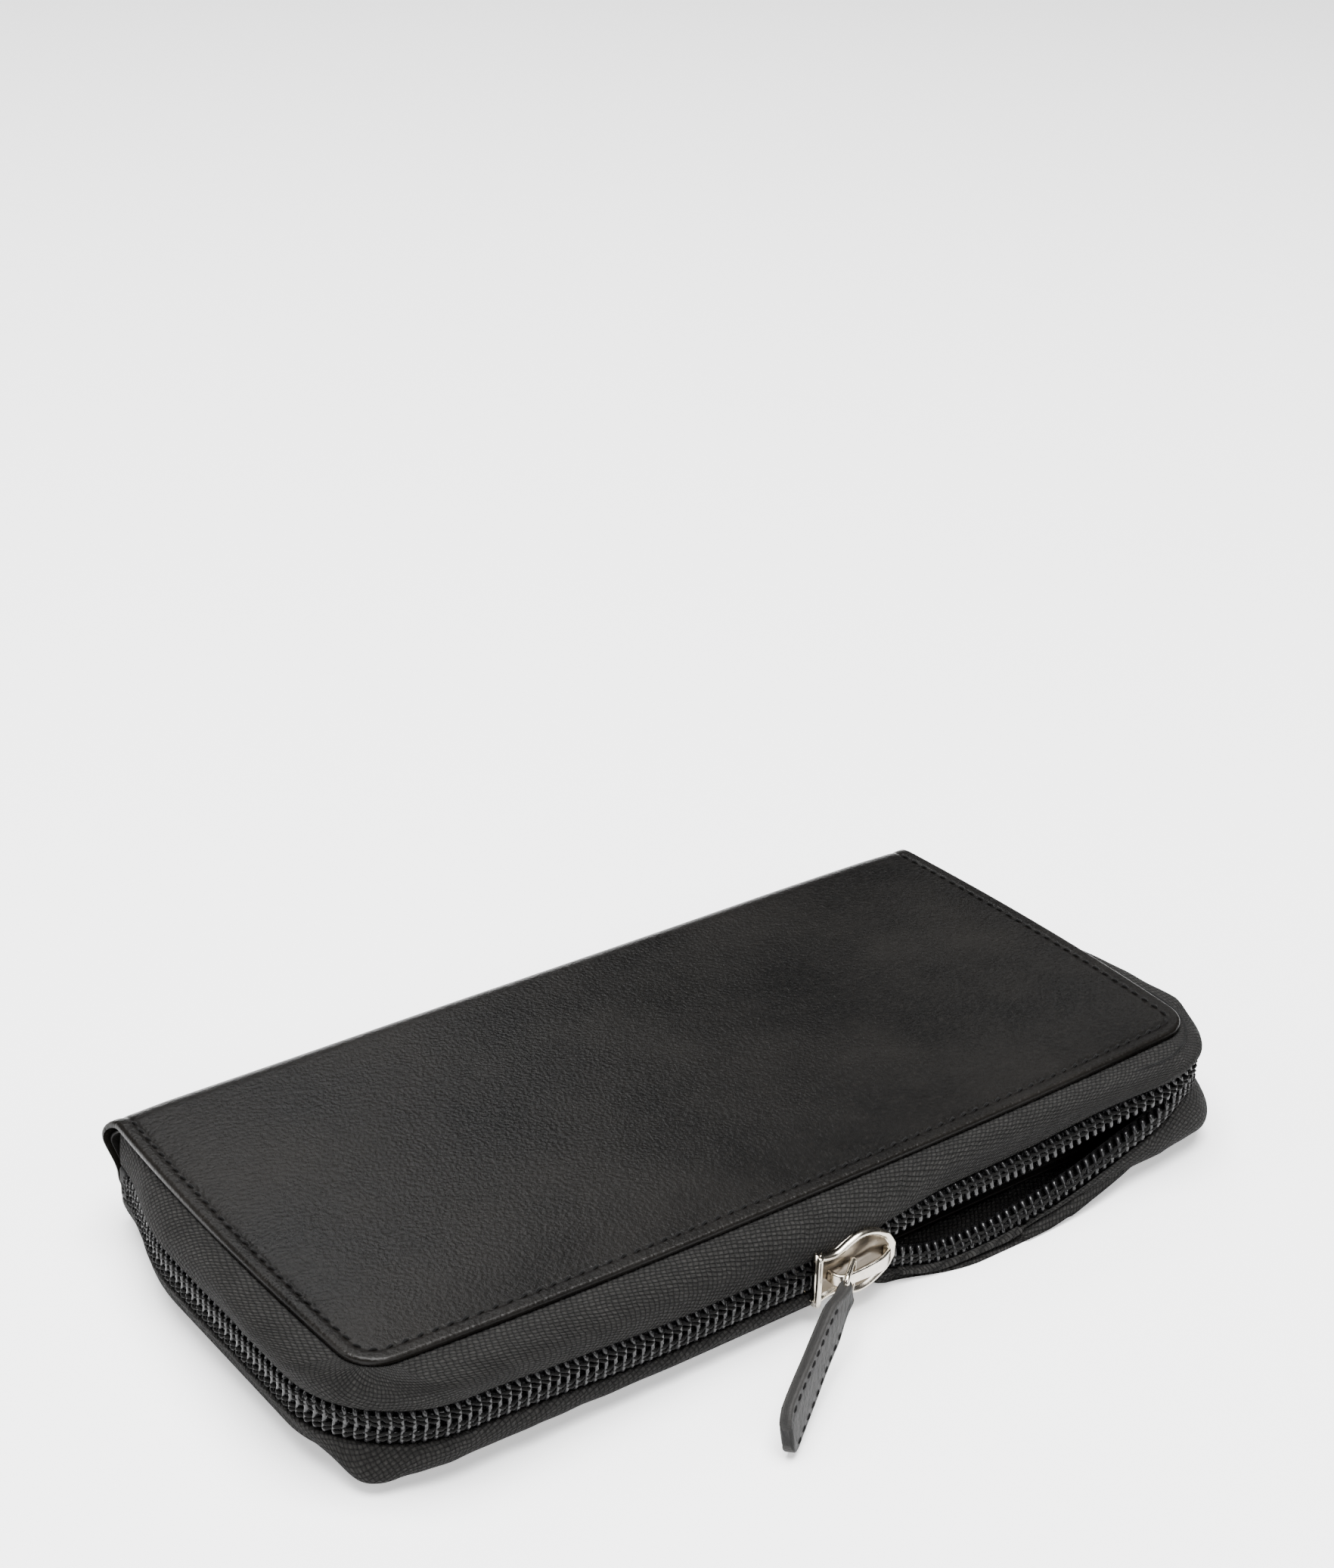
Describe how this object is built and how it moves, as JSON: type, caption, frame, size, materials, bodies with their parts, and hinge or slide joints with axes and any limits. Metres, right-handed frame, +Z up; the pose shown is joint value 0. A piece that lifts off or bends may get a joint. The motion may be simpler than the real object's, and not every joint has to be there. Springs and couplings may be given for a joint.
{
  "type": "zip-around long wallet",
  "caption": "Black leather long wallet with a zip on three sides, folding on a soft spine, holding card slots, a card page, a window pocket and a zipped coin pocket.",
  "frame": {"origin": "middle of the back cover's underside, which rests on the table", "axes": "+X along the wallet towards the end where the coin zip closes, +Y towards the spine, +Z up from the back cover to the front cover"},
  "size_m": [0.208, 0.1326, 0.026],
  "materials": {
    "cover_leather": "satin black-brown leather with fine grain",
    "inner_leather": "smooth satin black leather",
    "lining_leather": "thin smooth black leather",
    "stiffener": "bonded leather board, hidden",
    "gusset_fabric": "coarse charcoal twill",
    "zip_tape": "fine woven black tape",
    "pocket_fabric": "thin black lining fabric",
    "zip_coil": "glossy black nylon coil",
    "nickel": "polished nickel plating",
    "clear_plastic": "clear soft plastic sheet"
  },
  "bodies": {
    "back_half": {"back_board": "stiffener", "back_cover_leather": "cover_leather", "back_gusset": "gusset_fabric", "back_lining": "lining_leather", "back_zip_coil": "zip_coil", "back_zip_stops": "zip_coil", "back_zip_tape": "zip_tape", "card_backing": "pocket_fabric", "card_slot_1": "inner_leather", "card_slot_2": "inner_leather", "card_slot_3": "inner_leather", "card_slot_4": "inner_leather", "card_slot_5": "inner_leather", "card_slot_6": "inner_leather", "card_slot_7": "inner_leather", "card_slot_8": "inner_leather", "card_slot_9": "inner_leather", "coin_coil_inner": "zip_coil", "coin_coil_outer": "zip_coil", "coin_pocket_bag": "pocket_fabric", "coin_strip_inner": "inner_leather", "coin_strip_outer": "inner_leather", "coin_tape_inner": "zip_tape", "coin_tape_outer": "zip_tape", "coin_zip_stops": "nickel"},
    "spine": {"spine_leather": "cover_leather", "spine_lining": "lining_leather"},
    "front_half": {"bill_pocket_fabric": "pocket_fabric", "bill_pocket_panel": "inner_leather", "clear_window": "clear_plastic", "front_board": "stiffener", "front_cover_leather": "cover_leather", "front_gusset": "gusset_fabric", "front_lining": "lining_leather", "front_zip_coil": "zip_coil", "front_zip_stops": "zip_coil", "front_zip_tape": "zip_tape"},
    "card_page": {"page_card_ply": "inner_leather", "page_hinge_strip": "inner_leather", "page_slot_1": "inner_leather", "page_slot_2": "inner_leather", "page_slot_3": "inner_leather", "page_slot_4": "inner_leather", "page_slot_5": "inner_leather", "page_slot_6": "inner_leather", "page_window_ply": "inner_leather"},
    "main_slider": {"main_slider_shell": "nickel", "main_slider_inner_plate": "nickel"},
    "wire_ring": {"pull_ring": "nickel"},
    "pull": {"leather_pull": "cover_leather"},
    "coin_slider": {"coin_slider_body": "nickel"},
    "coin_pull": {"coin_pull_tab": "nickel"}
  },
  "joints": [
    {"name": "spine_fold", "type": "hinge", "parent": "back_half", "child": "spine", "pos_m": [0, 0.0453, 0.0008], "axis": [-1, 0, 0], "range_deg": [0, 90]},
    {"name": "front_fold", "type": "hinge", "parent": "spine", "child": "front_half", "pos_m": [0, 0.0453, 0.0252], "axis": [-1, 0, 0], "range_deg": [0, 90]},
    {"name": "page_turn", "type": "hinge", "parent": "spine", "child": "card_page", "pos_m": [0, 0.041, 0.0134], "axis": [-1, 0, 0], "range_deg": [0, 40]},
    {"name": "slider_run", "type": "slide", "parent": "back_half", "child": "main_slider", "axis": [-0.9994, 0, 0.0337], "range_m": [0, 0.072]},
    {"name": "ring_swing", "type": "hinge", "parent": "main_slider", "child": "wire_ring", "pos_m": [0.0026, -0.0598, 0.0104], "axis": [0, 0, 1], "range_deg": [-15, 95]},
    {"name": "pull_swing", "type": "hinge", "parent": "wire_ring", "child": "pull", "pos_m": [-0.00315, -0.06462, 0.0104], "axis": [0, 0, 1], "range_deg": [-12, 40]},
    {"name": "coin_slider_run", "type": "slide", "parent": "back_half", "child": "coin_slider", "axis": [-1, 0, 0], "range_m": [0, 0.15]},
    {"name": "coin_pull_lift", "type": "hinge", "parent": "coin_slider", "child": "coin_pull", "pos_m": [0.0813, -0.0375, 0.00635], "axis": [0, 1, 0], "range_deg": [0, 45]}
  ],
  "couplings": [
    {"joint": "front_fold", "follows": "spine_fold", "ratio": 1},
    {"joint": "page_turn", "follows": "spine_fold", "ratio": 0.4444}
  ]
}
